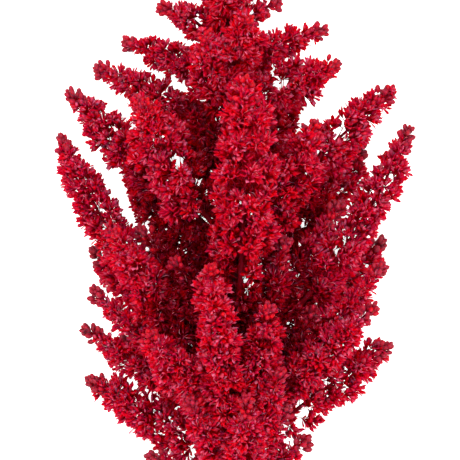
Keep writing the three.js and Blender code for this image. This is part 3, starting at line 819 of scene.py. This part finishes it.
class Graph:
    """A node tree with short calls for the nodes used here."""

    def __init__(self, tree):
        self.tree, self.nodes, self.links = tree, tree.nodes, tree.links

    def put(self, source, socket):
        """Links an output, or sets a value or a screen colour, on an input socket."""
        if isinstance(source, bpy.types.NodeSocket):
            self.links.new(source, socket)
        else:
            socket.default_value = colour(source) if isinstance(source, str) else source

    def attribute(self, name):
        """The value of one of the piece's own marks."""
        node = self.nodes.new("ShaderNodeAttribute")
        node.attribute_name = name
        return node.outputs["Fac"]

    def math(self, operation, a, b=0.0, clamp=False):
        """One arithmetic step."""
        node = self.nodes.new("ShaderNodeMath")
        node.operation, node.use_clamp = operation, clamp
        self.put(a, node.inputs[0])
        self.put(b, node.inputs[1])
        return node.outputs[0]

    def ramp(self, value, low, high, out_low=0.0, out_high=1.0):
        """A smooth step: value between low and high becomes out_low to out_high."""
        node = self.nodes.new("ShaderNodeMapRange")
        node.interpolation_type = "SMOOTHSTEP"
        for key, number in zip(("From Min", "From Max", "To Min", "To Max"), (low, high, out_low, out_high)):
            node.inputs[key].default_value = number
        self.put(value, node.inputs["Value"])
        return node.outputs["Result"]

    def mix(self, share, a, b, blend="MIX"):
        """Two colours mixed by a share."""
        node = self.nodes.new("ShaderNodeMix")
        node.data_type, node.blend_type = "RGBA", blend
        self.put(share, node.inputs[0])
        self.put(a, node.inputs[6])
        self.put(b, node.inputs[7])
        return node.outputs[2]

    def noise(self, vector, scale, detail=3.0, roughness=0.55):
        """Soft noise from 0 to 1."""
        node = self.nodes.new("ShaderNodeTexNoise")
        self.put(vector, node.inputs["Vector"])
        self.put(scale, node.inputs["Scale"])
        node.inputs["Detail"].default_value = detail
        node.inputs["Roughness"].default_value = roughness
        return node.outputs["Fac"]

    def stretched(self, vector, scale):
        """Coordinates scaled on each axis."""
        node = self.nodes.new("ShaderNodeMapping")
        node.inputs["Scale"].default_value = scale
        self.put(vector, node.inputs["Vector"])
        return node.outputs["Vector"]

    def object_place(self):
        """The place on the piece, in metres."""
        return self.nodes.new("ShaderNodeTexCoord").outputs["Object"]

    def group(self, tree, **values):
        """A shared effect, with its inputs set or linked by name."""
        node = self.nodes.new("ShaderNodeGroup")
        node.node_tree = tree
        for name, value in values.items():
            self.put(value, node.inputs[name.replace("_", " ")])
        return node.outputs


def new_group(name, inputs, outputs):
    """An empty shader node group with its named sockets; returns its graph, inputs and outputs."""
    tree = bpy.data.node_groups.new(name, "ShaderNodeTree")
    for label, default in inputs.items():
        kind = NUMBER if isinstance(default, float) else COLOUR
        tree.interface.new_socket(name=label, in_out="INPUT", socket_type=kind).default_value = default
    for label, kind in outputs.items():
        tree.interface.new_socket(name=label, in_out="OUTPUT", socket_type=kind)
    graph = Graph(tree)
    return graph, tree.nodes.new("NodeGroupInput").outputs, tree.nodes.new("NodeGroupOutput").inputs


def blush_group():
    """Uneven tint: slow noise shifts a colour towards a second one, and fine noise speckles it."""
    graph, given, made = new_group(
        "uneven tint",
        {"Colour": WHITE, "Second Colour": BLACK, "Patch Size": 90.0,
         "Speckle Size": 1800.0, "Strength": 0.5},
        {"Colour": COLOUR},
    )
    place = graph.object_place()
    patch = graph.ramp(graph.noise(place, given["Patch Size"]), 0.35, 0.68)
    speckle = graph.ramp(graph.noise(place, given["Speckle Size"], detail=2.0), 0.42, 0.7)
    mask = graph.math("ADD", graph.math("MULTIPLY", patch, 0.65), graph.math("MULTIPLY", speckle, 0.35))
    share = graph.math("MULTIPLY", mask, given["Strength"], clamp=True)
    graph.put(graph.mix(share, given["Colour"], given["Second Colour"]), made["Colour"])
    return graph.tree


def fibre_group():
    """Lengthwise fibres: noise drawn out along the stem darkens a colour and gives a height for a bump."""
    graph, given, made = new_group(
        "lengthwise fibres",
        {"Colour": WHITE, "Dark Colour": BLACK, "Depth": 0.7},
        {"Colour": COLOUR, "Height": NUMBER},
    )
    place = graph.object_place()
    coarse = graph.noise(graph.stretched(place, (1500, 90, 1500)), 1.0, detail=4.0, roughness=0.65)
    fine = graph.noise(graph.stretched(place, (5200, 260, 5200)), 1.0, detail=2.0)
    height = graph.math("ADD", graph.math("MULTIPLY", coarse, 0.65), graph.math("MULTIPLY", fine, 0.35))
    furrow = graph.ramp(height, 0.6, 0.38)
    share = graph.math("MULTIPLY", furrow, given["Depth"], clamp=True)
    graph.put(graph.mix(share, given["Colour"], given["Dark Colour"]), made["Colour"])
    graph.put(height, made["Height"])
    return graph.tree


def new_material(name):
    """A material with one Principled shader; returns it, its graph and the shader's inputs."""
    material = bpy.data.materials.new(name)
    material.use_nodes = True
    graph = Graph(material.node_tree)
    shader = graph.nodes["Principled BSDF"].inputs
    return material, graph, shader


def floret_material(uneven_tint, fibres):
    """Waxy crimson petals, dusky rose buds, mauve branchlets and pale filaments, told apart by the marks.

    A petal runs from a darker crimson at its base, painted shade where the petals meet, through its own
    tone to a faintly pink tip, and pinker where its mark pale is high; both pinks are painted highlight.
    A bud takes on the petals' colour with its tone. The painted shade mark darkens all but threads."""
    material, graph, shader = new_material("crimson florets")
    along, tone = graph.attribute("along"), graph.attribute("tone")
    warm = DEEP_CRIMSON
    for low, high, redder in ((0.05, 0.4, MAGENTA_RED), (0.35, 0.7, CRIMSON), (0.6, 0.95, SCARLET)):
        warm = graph.mix(graph.ramp(tone, low, high), warm, redder)
    # Each petal darkens towards its base: painted shade where the petals meet.
    body = graph.mix(graph.ramp(along, 0.0, 0.4), DEEP_CRIMSON, warm)
    petal = graph.group(
        uneven_tint, Colour=body, Second_Colour=DEEP_CRIMSON, Patch_Size=130.0, Strength=0.4
    )["Colour"]
    # Painted highlight: faint pink at every petal's tip, strong pink over the outer part of the few pale
    # petals.
    pale = graph.math("MULTIPLY", graph.attribute("pale"), graph.ramp(along, 0.35, 0.8, 0.0, 0.95))
    pale = graph.math("MAXIMUM", graph.ramp(along, 0.75, 1.0, 0.0, 0.07), pale)
    petal = graph.mix(pale, petal, PAINTED_HIGHLIGHT_PINK)
    bud = graph.mix(graph.ramp(along, 0.1, 0.75), BUD_DARK, BUD_ROSE)
    bud = graph.mix(graph.ramp(tone, 0.0, 0.75, 0.0, 0.9), bud, warm)
    bud = graph.group(
        uneven_tint, Colour=bud, Second_Colour=BUD_DARK, Patch_Size=900.0, Strength=0.45
    )["Colour"]
    stalk = graph.group(fibres, Colour=STALK_MAUVE, Dark_Colour=STEM_DARK, Depth=0.4)
    skin = graph.mix(graph.attribute("bud"), petal, bud)
    skin = graph.mix(graph.attribute("stalk"), skin, stalk["Colour"])
    # Painted shade: the shade mark mixes in a dark red.
    skin = graph.mix(graph.ramp(graph.attribute("deep"), 0.0, 1.0, 0.0, 0.86), skin, PAINTED_SHADE_RED)
    skin = graph.mix(graph.attribute("filament"), skin, FILAMENT_PINK)
    graph.put(skin, shader["Base Color"])
    graph.put(graph.ramp(graph.attribute("stalk"), 0.0, 1.0, 0.4, 0.7), shader["Roughness"])
    graph.put(graph.ramp(graph.attribute("bud"), 0.0, 1.0, 0.0, 0.12), shader["Specular IOR Level"])
    shader["Subsurface Weight"].default_value = 1.0
    shader["Subsurface Radius"].default_value = (1.0, 0.02, 0.03)
    shader["Subsurface Scale"].default_value = 0.0013
    return material


def stem_material(uneven_tint, fibres):
    """Brown-maroon bark with fibres and redder patches, pale hairs, and a cut face greenish at its rim."""
    material, graph, shader = new_material("maroon stem")
    bark = graph.group(
        uneven_tint, Colour=STEM_BROWN, Second_Colour=STEM_RED,
        Patch_Size=60.0, Speckle_Size=900.0, Strength=0.8,
    )["Colour"]
    bark = graph.group(fibres, Colour=bark, Dark_Colour=STEM_DARK, Depth=0.85)
    pith = graph.mix(graph.ramp(graph.attribute("along"), 0.3, 0.95), PITH_PALE, PITH_GREEN)
    skin = graph.mix(graph.attribute("cut"), bark["Colour"], pith)
    skin = graph.mix(graph.attribute("filament"), skin, FILAMENT_PINK)
    # Painted shade: darker red among the racemes and on the bare stalks, from the shade mark.
    skin = graph.mix(graph.attribute("deep"), skin, PAINTED_SHADE_RED)
    graph.put(skin, shader["Base Color"])
    graph.put(graph.ramp(bark["Height"], 0.35, 0.65, 0.62, 0.45), shader["Roughness"])
    shader["IOR"].default_value = 1.2
    bump = graph.nodes.new("ShaderNodeBump")
    bump.inputs["Strength"].default_value = 0.6
    bump.inputs["Distance"].default_value = 0.0002
    graph.put(bark["Height"], bump.inputs["Height"])
    graph.put(bump.outputs["Normal"], shader["Normal"])
    return material


def floor_material():
    """A near-white matte surface with a breath of unevenness."""
    material, graph, shader = new_material("pale surface")
    grain = graph.noise(graph.object_place(), 6.0)
    dull, bright = [(grey, grey, grey, 1.0) for grey in FLOOR_GREYS]
    graph.put(graph.mix(grain, dull, bright), shader["Base Color"])
    shader["Roughness"].default_value = 0.9
    shader["Specular IOR Level"].default_value = 0.1
    shader["Emission Color"].default_value = WHITE
    seen = graph.nodes.new("ShaderNodeLightPath").outputs["Is Camera Ray"]
    graph.put(graph.math("MULTIPLY", seen, FLOOR_GLOW), shader["Emission Strength"])
    return material


def soft_light(name, place, aim, size, power):
    """A square area light, turned from its place to its aim, in millimetres and watts."""
    light = bpy.data.lights.new(name, "AREA")
    light.shape, light.size, light.energy = "SQUARE", size * MM, power
    made = bpy.data.objects.new(name, light)
    made.location = np.array(place) * MM
    way = made.location - Vector(np.array(aim) * MM)
    made.rotation_euler = way.to_track_quat("Z", "Y").to_euler()
    bpy.context.scene.collection.objects.link(made)


def studio():
    """The pale floor, white surroundings, two soft lights from the camera's side and the camera itself."""
    scene = bpy.context.scene
    mesh = bpy.data.meshes.new("pale_floor")
    corners = np.array([[-1, -1, 0], [1, -1, 0], [1, 1, 0], [-1, 1, 0]]) * FLOOR_HALF_SIDE * MM
    mesh.from_pydata(corners, [], [(0, 1, 2, 3)])
    mesh.materials.append(floor_material())
    floor = bpy.data.objects.new("pale_floor", mesh)
    scene.collection.objects.link(floor)

    world = bpy.data.worlds.new("white studio")
    world.use_nodes = True
    background = world.node_tree.nodes["Background"].inputs
    background["Color"].default_value = WHITE
    background["Strength"].default_value = SURROUND_STRENGTH
    scene.world = world
    aim = (CENTRE_X, CENTRE_Y, PLUME_MIDDLE_Z)
    for name, (place, size, power) in LIGHTS.items():
        soft_light(name, place, aim, size, power)

    camera = bpy.data.cameras.new("camera")
    camera.sensor_width = SENSOR
    camera.lens = SENSOR * CAMERA_HEIGHT / (PIXELS * PIXEL_SIZE)
    camera.clip_end = 100
    stand = bpy.data.objects.new("camera", camera)
    stand.location = np.array([CENTRE_X, CENTRE_Y, PLUME_MIDDLE_Z + CAMERA_HEIGHT]) * MM
    scene.collection.objects.link(stand)
    scene.camera = stand
    scene.view_settings.view_transform = "Standard"


uneven_tint, fibres = blush_group(), fibre_group()
petal_finish, stem_finish = floret_material(uneven_tint, fibres), stem_material(uneven_tint, fibres)
racemes = [read_raceme(name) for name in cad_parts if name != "stem"]
for number, raceme in enumerate(racemes):
    raceme_piece(raceme, [o for o in racemes if o is not raceme], petal_finish, number)
stem_piece(racemes, stem_finish)
studio()
